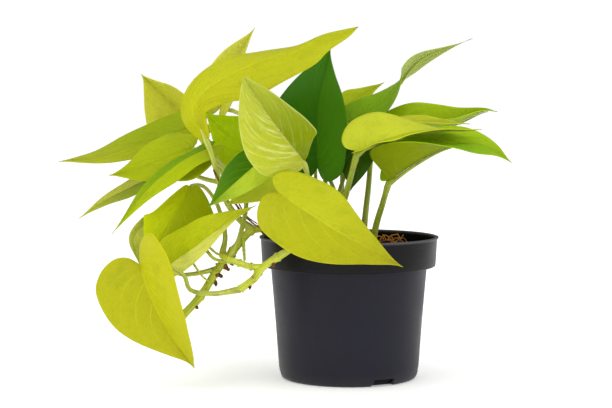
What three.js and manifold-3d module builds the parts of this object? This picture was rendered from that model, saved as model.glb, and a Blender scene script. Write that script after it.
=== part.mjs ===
// A potted pothos with lime leaves, in a black plastic nursery pot.
// Millimetres, +Z up, origin at the middle of the pot's underside, -Y towards the viewer.
// Every leaf is a thin blade on its own stalk. Three vines and the crown's stalks stand in holes in the soil.
import * as THREE from "three";
import { mergeVertices } from "three/addons/utils/BufferGeometryUtils.js";
import Module from "manifold-3d";

const wasm = await Module();
wasm.setup();

// ---- Driving dimensions -------------------------------------------------------------------------
const POT = {
  rimRadius: 60, // a 12 cm nursery pot
  height: 95,
  wall: 1.5,
  floor: 1.6,
  lipHeight: 1.4,
  bandTopRadius: 59.1,
  bandFootRadius: 57.9,
  bandHeight: 20,
  bodyTopRadius: 52.3,
  softEdge: 0.8, // how far the band's corners are rounded over
  footRadius: 46.3,
  footRound: 4,
  segments: 48,
};
const DRAIN = {
  count: 3, footWidth: 18.5, topWidth: 14.5, height: 4.8, innerRadius: 38, reach: 20,
  firstAngle: -61, // turned so that one notch shows a little right of the middle
};
const SOIL = { level: 86, mound: 5, moundRadius: 34, segments: 32, gap: 0.4, ripple: 0.9 };
const COIR = { count: 12, radius: 0.7, length: 17, rise: 3.5, dip: 4, nearest: 16, furthest: 42, seed: 7 };
const BLADE = { thickness: 0.8, wave: 1.2 }; // wave is how far its edge ripples
const STALK = { footRadius: 1.9, tipRadius: 1.2, sides: 6, steps: 7 };
const VINE = { sides: 7, stepsPerJoint: 4, swelling: 0.7 };
const ROOT = { radius: 1.3, tipRadius: 0.5, length: 5.5, sides: 5 }; // stubs of air root on the vines
const CLEAR = 0.35; // air between a stalk and the vine or the soil that holds it

// ---- Materials ----------------------------------------------------------------------------------
const finish = (color, roughness) => new THREE.MeshStandardMaterial({ color, roughness, metalness: 0 });
const MATERIAL = {
  pot: finish(0x303034, 0.45),
  soil: finish(0x2c1d12, 0.95),
  vine: finish(0x9aa028, 0.45),
  lime: finish(0xc6ca2c, 0.4),
  green: finish(0x9ab020, 0.4),
  dark: finish(0x3c7008, 0.4),
};

// ---- Solids -------------------------------------------------------------------------------------
const vec = (p) => new THREE.Vector3(...p);
const degrees = THREE.MathUtils.degToRad;

function toSolid(geometry) {
  const bare = geometry.clone();
  for (const name of ["normal", "uv"]) bare.deleteAttribute(name);
  const merged = mergeVertices(bare, 1e-4);
  return new wasm.Manifold(
    new wasm.Mesh({
      numProp: 3,
      vertProperties: merged.attributes.position.array,
      triVerts: new Uint32Array(merged.index.array),
    }),
  );
}

function toGeometry(solid) {
  const mesh = solid.getMesh();
  return new THREE.BufferGeometry()
    .setAttribute("position", new THREE.BufferAttribute(new Float32Array(mesh.vertProperties), 3))
    .setIndex(new THREE.BufferAttribute(new Uint32Array(mesh.triVerts), 1));
}

// A smooth line through the given points.
const lineThrough = (points) => new THREE.CatmullRomCurve3(points.map(vec), false, "catmullrom", 0.5);

// A closed tube along a curve, with a radius that may change: radiusAt(share of the length).
function tube(curve, radiusAt, sides, steps) {
  const frames = curve.computeFrenetFrames(steps, false);
  const positions = [];
  const index = [];
  for (let i = 0; i <= steps; i++) {
    const centre = curve.getPointAt(i / steps);
    for (let k = 0; k < sides; k++) {
      const angle = (2 * Math.PI * k) / sides;
      const out = frames.normals[i]
        .clone()
        .multiplyScalar(Math.cos(angle))
        .addScaledVector(frames.binormals[i], Math.sin(angle));
      positions.push(...centre.clone().addScaledVector(out, radiusAt(i / steps)).toArray());
    }
  }
  const first = positions.length / 3;
  positions.push(...curve.getPointAt(0).toArray(), ...curve.getPointAt(1).toArray());
  for (let k = 0; k < sides; k++) {
    const next = (k + 1) % sides;
    for (let i = 0; i < steps; i++) {
      const [a, b, c, d] = [i * sides + k, i * sides + next, (i + 1) * sides + next, (i + 1) * sides + k];
      index.push(a, b, c, a, c, d);
    }
    index.push(first, next, k, first + 1, steps * sides + k, steps * sides + next);
  }
  return new THREE.BufferGeometry()
    .setAttribute("position", new THREE.Float32BufferAttribute(positions, 3))
    .setIndex(index);
}

// Gives a sheet its thickness: two skins half the thickness off it, split alike, and a rim round the edge.
function thicken(sheet, thickness) {
  sheet.computeVertexNormals();
  const place = sheet.attributes.position;
  const normal = sheet.attributes.normal;
  const faces = sheet.index.array;
  const n = place.count;
  const positions = [];
  for (const side of [0.5, -0.5])
    for (let i = 0; i < n; i++) {
      const p = new THREE.Vector3().fromBufferAttribute(place, i);
      p.addScaledVector(new THREE.Vector3().fromBufferAttribute(normal, i), side * thickness);
      positions.push(...p.toArray());
    }
  const index = [];
  const open = new Map();
  for (let f = 0; f < faces.length; f += 3) {
    const [a, b, c] = faces.slice(f, f + 3);
    index.push(a, b, c, c + n, b + n, a + n);
    for (const [from, to] of [[a, b], [b, c], [c, a]])
      if (!open.delete(`${to},${from}`)) open.set(`${from},${to}`, [from, to]);
  }
  for (const [from, to] of open.values()) index.push(to, from, from + n, to, from + n, to + n);
  return new THREE.BufferGeometry()
    .setAttribute("position", new THREE.Float32BufferAttribute(positions, 3))
    .setIndex(index);
}

// ---- Pot ----------------------------------------------------------------------------------------
function buildPot() {
  const { rimRadius, height, wall, floor, lipHeight, footRadius, footRound, softEdge } = POT;
  const bandFoot = height - POT.bandHeight;
  const outer = [
    [0, 0],
    [footRadius - footRound, 0],
    [footRadius - 0.3 * footRound, 0.3 * footRound],
    [footRadius, footRound],
    [POT.bodyTopRadius, bandFoot - softEdge],
    [POT.bodyTopRadius + softEdge, bandFoot],
    [POT.bandFootRadius - softEdge, bandFoot],
    [POT.bandFootRadius, bandFoot + softEdge],
    [POT.bandTopRadius, height - lipHeight],
    [rimRadius, height - lipHeight + softEdge / 2],
    [rimRadius, height],
  ];
  const inner = [
    [POT.bandTopRadius - wall, height],
    [POT.bandFootRadius - wall, bandFoot + wall],
    [POT.bodyTopRadius - wall, bandFoot + wall - softEdge],
    [footRadius - wall, footRound],
    [footRadius - footRound, floor],
    [0, floor],
  ];
  const profile = [...outer, ...inner].map(([r, z]) => new THREE.Vector2(r, z));
  const shell = new THREE.LatheGeometry(profile, POT.segments).rotateX(Math.PI / 2);
  let solid = toSolid(shell);
  const slot = new THREE.Shape([
    new THREE.Vector2(-DRAIN.footWidth / 2, -1),
    new THREE.Vector2(DRAIN.footWidth / 2, -1),
    new THREE.Vector2(DRAIN.topWidth / 2, DRAIN.height),
    new THREE.Vector2(-DRAIN.topWidth / 2, DRAIN.height),
  ]);
  for (let i = 0; i < DRAIN.count; i++) {
    const cutter = new THREE.ExtrudeGeometry(slot, { depth: DRAIN.reach, bevelEnabled: false })
      .rotateX(Math.PI / 2)
      .translate(0, -DRAIN.innerRadius, 0)
      .rotateZ(degrees(90 + DRAIN.firstAngle + (i * 360) / DRAIN.count));
    solid = solid.subtract(toSolid(cutter));
  }
  return solid;
}

// ---- Leaves -------------------------------------------------------------------------------------
// One half of a blade's outline, notch to tip: [along the rib, across, where its vein leaves the rib].
// Along and vein are shares of the rib's length, across is a share of the half width.
const HEART = [
  [-0.09, 0.18, 0.02],
  [-0.12, 0.45, 0.05],
  [-0.07, 0.75, 0.09],
  [0.05, 0.95, 0.16],
  [0.21, 1.0, 0.27],
  [0.39, 0.91, 0.4],
  [0.57, 0.68, 0.55],
  [0.74, 0.38, 0.71],
  [0.88, 0.14, 0.86],
];
const ACROSS = [-1, -0.5, 0, 0.5, 1]; // shares of a row, from the left edge to the right

// A leaf's rib, with the directions to its right and out of its upper side at any share of its length.
function ribOf(leaf) {
  const curve = lineThrough(leaf.rib);
  const length = curve.getLength();
  const from = vec(leaf.face).normalize();
  const to = vec(leaf.faceTip ?? leaf.face).normalize();
  return {
    length,
    at(share) {
      const s = Math.max(share, 0);
      const along = curve.getTangentAt(s);
      const up = from.clone().lerp(to, s);
      up.addScaledVector(along, -up.dot(along)).normalize();
      const right = along.clone().cross(up);
      const point = curve.getPointAt(s).addScaledVector(along, (share - s) * length);
      return { point, right, up };
    },
  };
}

// A point of the blade's middle surface: along is a share of the rib, across runs from -1 (left) to 1.
function bladePoint(leaf, rib, along, across) {
  const { point, right, up } = rib.at(along);
  const side = across < 0 ? 0 : 1;
  const v = Math.abs(across);
  const reach = v * leaf.half[side];
  const fold = THREE.MathUtils.lerp(leaf.fold[side], (leaf.foldTip ?? leaf.fold)[side], Math.max(along, 0));
  const tilt = degrees(fold);
  const ripple = BLADE.wave * v * v * Math.sin(9 * along + 2.4 * side + leaf.rib[0][0]);
  return point
    .addScaledVector(right, Math.sign(across) * reach * Math.cos(tilt))
    .addScaledVector(up, reach * Math.sin(tilt) + ripple);
}

function bladeSheet(leaf) {
  const rib = ribOf(leaf);
  const sweep = leaf.sweep ?? [0, 0];
  const taper = leaf.taper ?? [1, 1];
  const lobe = leaf.lobe ?? [1, 1];
  const positions = [...bladePoint(leaf, rib, 0, 0).toArray()];
  for (const [along, across, vein] of HEART)
    for (const v of ACROSS) {
      const side = v < 0 ? 0 : 1;
      const behind = Math.min(along, 0) * (1 - lobe[side]);
      const edge = along - behind + sweep[side] * across * (1 - along) ** 3;
      const width = along < 0.3 ? across : across ** taper[side];
      const share = vein + (edge - vein) * Math.abs(v);
      positions.push(...bladePoint(leaf, rib, share, width * v).toArray());
    }
  positions.push(...bladePoint(leaf, rib, 1, 0).toArray());
  const n = ACROSS.length;
  const tip = positions.length / 3 - 1;
  const middle = (n - 1) / 2;
  const index = [];
  for (let k = 0; k < n - 1; k++) {
    index.push(0, 1 + k + 1, 1 + k);
    index.push(tip, tip - n + k, tip - n + k + 1);
    for (let row = 1; row < HEART.length; row++) {
      const [a, b] = [1 + (row - 1) * n + k, 1 + row * n + k];
      if (k < middle) index.push(a, a + 1, b + 1, a, b + 1, b);
      else index.push(a, a + 1, b, a + 1, b + 1, b);
    }
  }
  return new THREE.BufferGeometry()
    .setAttribute("position", new THREE.Float32BufferAttribute(positions, 3))
    .setIndex(index);
}

const stalkCurve = (leaf) => lineThrough([...leaf.stalk, leaf.rib[0]]);

function stalkTube(leaf, extra = 0) {
  const radius = (t) => STALK.footRadius + (STALK.tipRadius - STALK.footRadius) * t + extra;
  return tube(stalkCurve(leaf), radius, STALK.sides, STALK.steps);
}

// Each leaf: its rib from the stalk's end to the tip, the way its upper side faces, its half widths to the
// left and right, how far each half folds up from the rib in degrees, and its stalk from the foot up. What
// ends in Tip is the value at the tip, where it differs from the base. Sweep moves a half's lobe forward,
// taper under 1 fills out its tip, and lobe is how much of the lobe reaches back past the rib's end: 0 cuts
// it off straight.
const LEAVES = {
  front_heart: {
    color: "lime", rib: [[-46, -68, 128], [-11, -82, 106], [12, -84, 93], [32, -80, 82]],
    face: [0.1, -0.85, 0.5], half: [24, 29], lobe: [1, 0.8], fold: [-2, -8], sweep: [0.03, 0.06],
    stalk: [[-22, -26, 70], [-24, -32, 98], [-37, -52, 117]],
  },
  bright_fold: {
    color: "lime", rib: [[-30, -46, 147], [-42, -54, 162], [-55, -60, 180], [-68, -62, 201]],
    face: [-0.1, -0.9, 0.2], half: [29, 22], lobe: [1, 0.2], fold: [18, 35],
    sweep: [0.22, 0.2], taper: [0.62, 0.62],
    stalk: [[-24, -16, 70], [-25, -20, 108], [-27, -36, 133]],
  },
  dark_upright: {
    color: "dark", rib: [[-21, 5, 140], [-20, 14, 181], [-12, 30, 221]],
    face: [-0.45, -0.9, 0.1], half: [37, 30], taper: [0.8, 1], fold: [14, 22],
    stalk: [[-6, 6, 70], [-6, 6, 108], [-12, 5, 131]],
  },
  top_arch: {
    color: "lime",
    rib: [
      [-94, -30, 161], [-102, -31, 178], [-94, -30, 192], [-72, -28, 205], [-36, -28, 219], [-18, -30, 228],
      [5, -36, 233],
    ],
    face: [-0.9, -0.4, 0.2], faceTip: [0.1, -0.25, 0.95], half: [31, 26], fold: [22, -24], foldTip: [-32, -35],
    sweep: [0.42, 0.42], taper: [0.7, 0.35],
    stalk: [[-64, -13, 100], [-74, -18, 109], [-83, -22, 124], [-90, -28, 150]],
  },
  back_point: {
    color: "lime", rib: [[-88, 38, 180], [-77, 44, 212], [-64, 47, 236]],
    face: [0.2, -0.9, 0.1], half: [18, 9], fold: [10, 50],
    stalk: [[-38, 28, 70], [-42, 32, 120], [-56, 34, 158], [-74, 35, 176]],
  },
  left_upper: {
    color: "lime", rib: [[-108, 55, 167], [-124, 59, 184], [-145, 64, 204]],
    face: [-0.2, -0.9, 0.2], half: [27, 22], fold: [10, 55],
    stalk: [[-83, 17, 133], [-96, 40, 150]],
  },
  left_long: {
    color: "green", rib: [[-104, 21, 168], [-134, 18, 158], [-167, 8, 148], [-193, -6, 145]],
    face: [0, -0.7, 0.7], half: [14, 18], fold: [0, 0], foldTip: [0, -25], taper: [0.9, 0.8],
    stalk: [[-77, 13, 130], [-90, 18, 152]],
  },
  left_middle: {
    color: "green", rib: [[-104, -4, 154], [-122, -14, 147], [-141, -24, 140], [-157, -32, 137]],
    face: [0, -0.7, 0.7], half: [24, 19], fold: [0, 0],
    stalk: [[-68, 10, 127], [-86, 9, 142]],
  },
  left_low: {
    color: "green", rib: [[-120, 18, 140], [-143, 15, 129], [-166, 12, 117], [-182, 8, 106]],
    face: [0, -0.6, 0.7], half: [24, 12], fold: [30, -15],
    stalk: [[-81, 12, 129], [-98, 10, 133], [-110, 14, 138]],
  },
  left_hanging: {
    color: "green", rib: [[-94, -15, 154], [-111, -31, 145], [-131, -47, 128], [-152, -58, 101]],
    face: [0, -0.5, 0.8], half: [11, 9], fold: [-8, -15],
    stalk: [[-78, -42, 83], [-71, -31, 100], [-70, -6, 126]],
  },
  low_shaded: {
    color: "green", rib: [[-106, -10, 129], [-115, -16, 112], [-125, -22, 90], [-130, -26, 63]],
    face: [0.1, -1, 0.2], half: [34, 17], fold: [-22, -10], foldTip: [0, 0], sweep: [0.2, 0.45],
    stalk: [[-83, -38, 86], [-82, -20, 98], [-88, -2, 116], [-97, 0, 128]],
  },
  left_strip: {
    color: "green", rib: [[-134, -8, 106], [-143, -10, 94], [-139, -12, 76]],
    face: [0, -0.9, 0.3], half: [10, 4], fold: [6, 6],
    stalk: [[-109, -41, 47], [-122, -22, 62], [-130, -8, 86]],
  },
  low_heart: {
    color: "lime", rib: [[-135, -52, 81], [-127, -58, 60], [-114, -60, 35], [-100, -58, 15]],
    face: [-0.2, -0.9, 0.2], half: [31, 33], fold: [40, 4], foldTip: [46, 4],
    sweep: [-0.1, 0], taper: [0.65, 1.15],
    stalk: [[-71, -53, 65], [-88, -50, 62], [-103, -47, 64], [-108, -46, 74], [-123, -47, 81]],
  },
  low_pale: {
    color: "lime", rib: [[-118, -34, 79], [-102, -40, 90], [-81, -44, 106], [-60, -46, 119]],
    face: [-0.3, -0.8, 0.3], half: [17, 10], fold: [8, 8], sweep: [0, -0.05], taper: [1, 1.8],
    stalk: [[-86, -29, 76], [-101, -33, 73], [-111, -34, 73]],
  },
  dark_small: {
    color: "dark", rib: [[-59, -34, 146], [-74, -42, 133], [-92, -48, 117]],
    face: [-0.1, -0.8, 0.5], half: [14, 14], fold: [4, 4],
    stalk: [[-18, -12, 70], [-19, -14, 98], [-42, -26, 130]],
  },
  under_small: {
    color: "green", rib: [[-47, -15, 137], [-64, -22, 127], [-81, -26, 117]],
    face: [0, -0.8, 0.5], half: [14, 14], fold: [4, 4],
    stalk: [[-12, -2, 70], [-16, -4, 96], [-32, -10, 124]],
  },
  inner_green: {
    color: "green", rib: [[-65, 8, 146], [-80, 6, 161], [-97, 6, 178]],
    face: [0, -0.9, 0.2], half: [16, 22], fold: [4, 4],
    stalk: [[-28, 22, 70], [-36, 24, 105], [-58, 18, 134]],
  },
  right_lime: {
    color: "lime", rib: [[5, -30, 153], [23, -32, 160], [48, -32, 166], [85, -34, 167]],
    face: [-0.1, -0.85, 0.5], faceTip: [0, -0.15, 1], half: [25, 18], fold: [6, 60], foldTip: [-35, 10],
    sweep: [0.04, 0.18], stalk: [[-8, -10, 70], [-7, -12, 103], [-1, -24, 130]],
  },
  right_long: {
    color: "green", rib: [[16, 26, 154], [44, 27, 161], [74, 26, 170], [92, 22, 178], [101, 18, 178]],
    face: [0, -0.2, 1], half: [24, 26], fold: [45, 40], foldTip: [90, 25],
    stalk: [[10, 16, 70], [11, 18, 100], [14, 22, 128]],
  },
  right_small: {
    color: "lime", rib: [[7, -9, 164], [41, -5, 172], [80, -6, 170]],
    face: [0, -0.4, 0.9], half: [10, 11], fold: [6, 6],
    stalk: [[-6, -4, 70], [-7, -8, 103], [-1, -14, 130]],
  },
  right_twist: {
    color: "green",
    rib: [[1, 28, 171], [21, 34, 183], [35, 39, 197], [42, 41, 206], [55, 42, 216], [86, 40, 228]],
    face: [-0.3, -0.7, 0.7], faceTip: [0.1, 0.95, 0.1], half: [14, 15], fold: [6, 6],
    taper: [1.3, 1.8],
    stalk: [[-2, 18, 70], [-3, 19, 97], [-4, 24, 145]],
  },
  right_back: {
    color: "lime", rib: [[-9, 50, 177], [9, 54, 188], [26, 56, 198]],
    face: [0, -0.5, 0.8], half: [12, 12], fold: [6, 6],
    stalk: [[-10, 32, 70], [-11, 33, 97], [-17, 42, 150]],
  },
  right_front: {
    color: "green",
    rib: [[26, -20, 133], [41, -24, 144], [59, -27, 154], [76, -30, 158], [92, -33, 155], [105, -34, 145]],
    face: [-0.3, 0.1, 1], faceTip: [0, -0.5, 0.85], half: [22, 27], fold: [60, 70], foldTip: [10, -40],
    sweep: [0.15, 0], lobe: [1, 0],
    stalk: [[15, -6, 70], [17, -8, 98], [22, -15, 118]],
  },
  back_upright: {
    color: "green", rib: [[-22, 48, 150], [-20, 62, 168], [-24, 72, 188]],
    face: [0, 0.8, 0.5], half: [14, 14], fold: [8, 8],
    stalk: [[-20, 36, 70], [-21, 40, 108], [-22, 44, 130]],
  },
  back_lean: {
    color: "lime", rib: [[-50, 50, 150], [-60, 62, 172], [-61, 66, 195]],
    face: [-0.1, 0.9, 0.3], half: [14, 14], fold: [10, 14],
    stalk: [[-28, 34, 70], [-30, 40, 108], [-40, 44, 132]],
  },
  back_hanging: {
    color: "dark", rib: [[-14, 52, 108], [-16, 70, 104], [-18, 80, 88], [-18, 84, 60]],
    face: [0, 0.3, 0.9], faceTip: [0, 0.9, 0.2], half: [17, 17], fold: [10, 10],
    stalk: [[-10, 38, 70], [-10, 40, 96]],
  },
  right_hanging: {
    color: "dark", rib: [[5, 0, 155], [3, -3, 141], [1, -6, 125]],
    face: [0.2, -0.9, 0.2], half: [12, 12], fold: [6, 6],
    stalk: [[-10, 14, 70], [-10, 13, 104], [-5, 11, 128]],
  },
};

function buildLeaf(leaf, vines) {
  let solid = toSolid(thicken(bladeSheet(leaf), BLADE.thickness)).add(toSolid(stalkTube(leaf)));
  for (const vine of vines) solid = solid.subtract(vine);
  return solid;
}

// ---- Vines --------------------------------------------------------------------------------------
// Each vine: its branches, with the stubs of air root that stand on them: [foot of the stub, direction].
const VINES = {
  vine_main: {
    branches: [
      {
        radius: 2.7,
        line: [
          [-30, 0, 70], [-38, -2, 94], [-51, -7, 99], [-64, -13, 100], [-75, -22, 89], [-86, -29, 76],
          [-97, -36, 59], [-110, -42, 45],
        ],
      },
    ],
    roots: [
      [[-53, -8, 99], [0.3, -0.4, -1]],
      [[-80, -25, 83], [0.6, -0.3, -1]],
      [[-84, -28, 78], [-1, 0, 0.2]],
      [[-91, -32, 68], [1, -0.4, -0.7]],
      [[-100, -38, 55], [0.5, -0.5, -0.8]],
    ],
  },
  vine_low: {
    branches: [
      {
        radius: 2.5,
        line: [
          [-10, -34, 70], [-15, -41, 92], [-27, -54, 99], [-40, -62, 91], [-56, -59, 80], [-62, -54, 72],
          [-71, -53, 65],
        ],
      },
      { radius: 2.2, line: [[-56, -59, 80], [-65, -54, 80], [-72, -50, 82], [-80, -42, 84], [-83, -38, 86]] },
    ],
    roots: [
      [[-50, -60, 84], [0.3, -0.5, -1]],
      [[-66, -54, 69], [0.2, -0.4, -1]],
    ],
  },
  vine_upper: {
    branches: [
      { radius: 2.4, line: [[-24, 10, 70], [-30, 11, 96], [-48, 12, 114], [-70, 12, 128], [-84, 14, 132]] },
    ],
    roots: [[[-60, 12, 122], [0, -0.3, -1]]],
  },
};

function branchTube({ line, radius }, extra) {
  const joints = line.length - 1;
  const swell = (t) => VINE.swelling * Math.max(0, Math.cos(2 * Math.PI * joints * t)) ** 6;
  return tube(lineThrough(line), (t) => radius + swell(t) + extra, VINE.sides, joints * VINE.stepsPerJoint);
}

function rootTube([foot, direction]) {
  const end = vec(foot).addScaledVector(vec(direction).normalize(), ROOT.length);
  const radius = (t) => ROOT.radius + (ROOT.tipRadius - ROOT.radius) * t;
  return tube(new THREE.LineCurve3(vec(foot), end), radius, ROOT.sides, 1);
}

function vineSolid({ branches, roots }, extra = 0) {
  const parts = branches.map((branch) => branchTube(branch, extra));
  if (!extra) parts.push(...roots.map(rootTube));
  return parts.map(toSolid).reduce((whole, part) => whole.add(part));
}

// ---- Soil ---------------------------------------------------------------------------------------
function soilProfile() {
  const bandFoot = POT.height - POT.bandHeight;
  const inset = POT.wall + SOIL.gap;
  const ring = SOIL.moundRadius;
  return [
    [0, POT.floor + SOIL.gap],
    [POT.footRadius - POT.footRound - SOIL.gap, POT.floor + SOIL.gap],
    [POT.footRadius - inset, POT.footRound + SOIL.gap],
    [POT.bodyTopRadius - inset, bandFoot + POT.wall - SOIL.gap],
    [POT.bandFootRadius - inset, bandFoot + POT.wall + SOIL.gap + 0.6],
    [POT.bandFootRadius - inset, SOIL.level - 0.5],
    [POT.bandFootRadius - inset - 4, SOIL.level + 0.3],
    [ring, SOIL.level + 0.35 * SOIL.mound],
    [ring / 2, SOIL.level + 0.8 * SOIL.mound],
    [0, SOIL.level + SOIL.mound],
  ].map(([r, z]) => new THREE.Vector2(r, z));
}

// The height of the soil's lumps at a place.
const lump = (x, y) => SOIL.ripple * Math.sin(0.21 * x + 1.3) * Math.cos(0.17 * y - 0.4);

// A seeded draw of numbers between 0 and 1.
function drawing(seed) {
  let state = seed;
  return () => {
    state = (state * 16807) % 2147483647;
    return state / 2147483647;
  };
}

// Strands of brown fibre that lie on the soil, with both ends in it.
function coirStrands() {
  const draw = drawing(COIR.seed);
  const strands = [];
  for (let i = 0; i < COIR.count; i++) {
    const [angle, turn] = [2 * Math.PI * draw(), Math.PI * draw()];
    const radius = COIR.nearest + (COIR.furthest - COIR.nearest) * draw();
    const top = SOIL.level + COIR.rise;
    const middle = new THREE.Vector3(radius * Math.cos(angle), radius * Math.sin(angle), top);
    const half = new THREE.Vector3(Math.cos(turn), Math.sin(turn), 0).multiplyScalar(COIR.length / 2);
    const dip = new THREE.Vector3(0, 0, COIR.dip);
    const curve = new THREE.CatmullRomCurve3([
      middle.clone().sub(half).sub(dip),
      middle,
      middle.clone().add(half).sub(dip),
    ]);
    strands.push(tube(curve, () => COIR.radius, 4, 3));
  }
  return strands;
}

function buildSoil(planted) {
  const body = new THREE.LatheGeometry(soilProfile(), SOIL.segments).rotateX(Math.PI / 2);
  const place = body.attributes.position;
  for (let i = 0; i < place.count; i++) {
    const [x, y, z] = [place.getX(i), place.getY(i), place.getZ(i)];
    if (z > SOIL.level) place.setZ(i, z + lump(x, y));
  }
  let solid = toSolid(body);
  for (const strand of coirStrands()) solid = solid.add(toSolid(strand));
  for (const hole of planted) solid = solid.subtract(hole);
  return solid;
}

// ---- Assembly -----------------------------------------------------------------------------------
const plant = new THREE.Group();

function place(name, solid, material) {
  const mesh = new THREE.Mesh(toGeometry(solid), material.clone());
  mesh.name = name;
  plant.add(mesh);
}

const roomForVines = Object.values(VINES).map((vine) => vineSolid(vine, CLEAR));
const roomForStalks = Object.values(LEAVES).map((leaf) => toSolid(stalkTube(leaf, CLEAR)));

place("pot", buildPot(), MATERIAL.pot);
place("soil", buildSoil([...roomForVines, ...roomForStalks]), MATERIAL.soil);
for (const [name, vine] of Object.entries(VINES)) place(name, vineSolid(vine), MATERIAL.vine);
for (const [name, leaf] of Object.entries(LEAVES))
  place(`leaf_${name}`, buildLeaf(leaf, roomForVines), MATERIAL[leaf.color]);

export default plant;
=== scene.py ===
# %% [markdown]
# # A potted pothos
#
# This lesson dresses a small houseplant. The plant is a lime-leaved pothos in a black nursery pot: long
# stalks rise from dark soil, three stems trail over the rim on the left, and each stalk carries one
# folded, heart-shaped blade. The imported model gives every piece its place, so the lesson starts by
# loading it and keeps its measures.

# %% Load the frame
import math
import random

import bpy
import numpy as np
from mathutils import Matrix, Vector, noise


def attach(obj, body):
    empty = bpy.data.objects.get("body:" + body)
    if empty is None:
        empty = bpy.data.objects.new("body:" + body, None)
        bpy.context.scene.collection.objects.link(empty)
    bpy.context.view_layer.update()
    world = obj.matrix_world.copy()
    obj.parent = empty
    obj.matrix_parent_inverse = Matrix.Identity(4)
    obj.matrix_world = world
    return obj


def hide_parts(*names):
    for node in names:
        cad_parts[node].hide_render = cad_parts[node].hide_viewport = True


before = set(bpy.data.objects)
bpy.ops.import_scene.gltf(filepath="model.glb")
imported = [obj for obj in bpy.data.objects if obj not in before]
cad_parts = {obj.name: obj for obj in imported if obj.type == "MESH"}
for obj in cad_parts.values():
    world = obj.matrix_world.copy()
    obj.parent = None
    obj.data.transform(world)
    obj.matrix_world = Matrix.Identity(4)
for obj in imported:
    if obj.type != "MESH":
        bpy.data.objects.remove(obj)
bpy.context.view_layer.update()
MM = 0.001
print("nodes in the frame:", len(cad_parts))

# %% [markdown]
# ## The camera
#
# The photograph was taken from the front, a little above the rim, looking slightly down. A lens of 100 mm
# from a metre and more away keeps the leaves in front from looking too large, as in a studio picture.

# %% Set the camera
CAMERA_PLACE = (-0.0287, -1.135, 0.190)
CAMERA_TILT = 3.71
lens = bpy.data.cameras.new("camera")
lens.lens = 100
lens.sensor_width = 36
lens.clip_end = 50
camera = bpy.data.objects.new("camera", lens)
camera.location = CAMERA_PLACE
camera.rotation_euler = (math.radians(90 - CAMERA_TILT), 0, 0)
bpy.context.collection.objects.link(camera)
bpy.context.scene.camera = camera
print("camera tilt", CAMERA_TILT)

# %% [markdown]
# ## White surroundings
#
# The plant stands on a white sweep, lit softly from all round. A white world gives the even light. What
# the leaves and the pot mirror is a much darker room, as in the photograph, where the greens stay deep
# right to the edge. One large lamp from the upper left gives the leaves their light and shade. The
# picture is shown with the Standard view, because the filmic one greys white and dulls the lime.

# %% Light the scene
ROOM_LIGHT, MIRRORED_LIGHT = 1.02, 0.22  # how bright the world is, and how bright it is in a reflection
PLANT_MIDDLE = Vector((0, 0, 0.12))
bpy.context.scene.view_settings.view_transform = "Standard"
world = bpy.data.worlds.new("white studio")
bpy.context.scene.world = world
world.use_nodes = True
around = world.node_tree
white = around.nodes["Background"]
white.inputs["Color"].default_value = (1, 1, 1, 1)
white.inputs["Strength"].default_value = ROOM_LIGHT
mirrored = around.nodes.new("ShaderNodeBackground")
mirrored.inputs["Color"].default_value = (1, 1, 1, 1)
mirrored.inputs["Strength"].default_value = MIRRORED_LIGHT
choice = around.nodes.new("ShaderNodeMixShader")
around.links.new(around.nodes.new("ShaderNodeLightPath").outputs["Is Glossy Ray"], choice.inputs[0])
around.links.new(white.outputs[0], choice.inputs[1])
around.links.new(mirrored.outputs[0], choice.inputs[2])
around.links.new(choice.outputs[0], around.nodes["World Output"].inputs["Surface"])


def soft_lamp(name, place, size, power):
    """A square lamp that points at the middle of the plant."""
    light = bpy.data.lights.new(name, "AREA")
    light.shape = "SQUARE"
    light.size = size
    light.energy = power
    lamp = bpy.data.objects.new(name, light)
    lamp.location = place
    lamp.rotation_euler = (PLANT_MIDDLE - Vector(place)).to_track_quat("-Z", "Y").to_euler()
    bpy.context.collection.objects.link(lamp)


soft_lamp("window", (-1.0, -0.9, 1.7), 1.2, 10)
soft_lamp("fill", (1.3, -1.2, 1.0), 1.2, 3)

# %% [markdown]
# ## How the materials are written
#
# Each finish is a few nodes round one Principled shader. These small helpers add a node, set its sockets
# and join it to the others, so that a finish reads as one list of steps.


# %% Helpers for nodes
def srgb(red, green, blue):
    """A colour as it is seen on screen, 0 to 255, turned into the linear light that shaders want."""
    parts = [c / 255 for c in (red, green, blue)]
    return tuple(c / 12.92 if c <= 0.04045 else ((c + 0.055) / 1.055) ** 2.4 for c in parts) + (1,)


def wire(tree, source, target):
    """Joins an output to a socket, or sets the socket where the source is a plain value."""
    if isinstance(source, bpy.types.NodeSocket):
        tree.links.new(source, target)
    else:
        target.default_value = source


def add_math(tree, operation, *values):
    node = tree.nodes.new("ShaderNodeMath")
    node.operation = operation
    for socket, value in zip(node.inputs, values):
        wire(tree, value, socket)
    return node.outputs[0]


def times(tree, first, second):
    return add_math(tree, "MULTIPLY", first, second)


def plus(tree, first, second):
    return add_math(tree, "ADD", first, second)


def add_ramp(tree, value, low, high, start=0.0, end=1.0):
    """A smooth step: start below low, end above high."""
    node = tree.nodes.new("ShaderNodeMapRange")
    node.interpolation_type = "SMOOTHSTEP"
    settings = {"Value": value, "From Min": low, "From Max": high, "To Min": start, "To Max": end}
    for label, setting in settings.items():
        wire(tree, setting, node.inputs[label])
    return node.outputs["Result"]


def add_noise(tree, vector, scale, detail=3.0, roughness=0.5):
    node = tree.nodes.new("ShaderNodeTexNoise")
    wire(tree, vector, node.inputs["Vector"])
    node.inputs["Scale"].default_value = scale
    node.inputs["Detail"].default_value = detail
    node.inputs["Roughness"].default_value = roughness
    return node.outputs["Fac"]


def add_mix(tree, share, first, second):
    """Mixes two colours."""
    node = tree.nodes.new("ShaderNodeMix")
    node.data_type = "RGBA"
    for socket, value in zip((node.inputs[0], node.inputs[6], node.inputs[7]), (share, first, second)):
        wire(tree, value, socket)
    return node.outputs[2]


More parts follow.
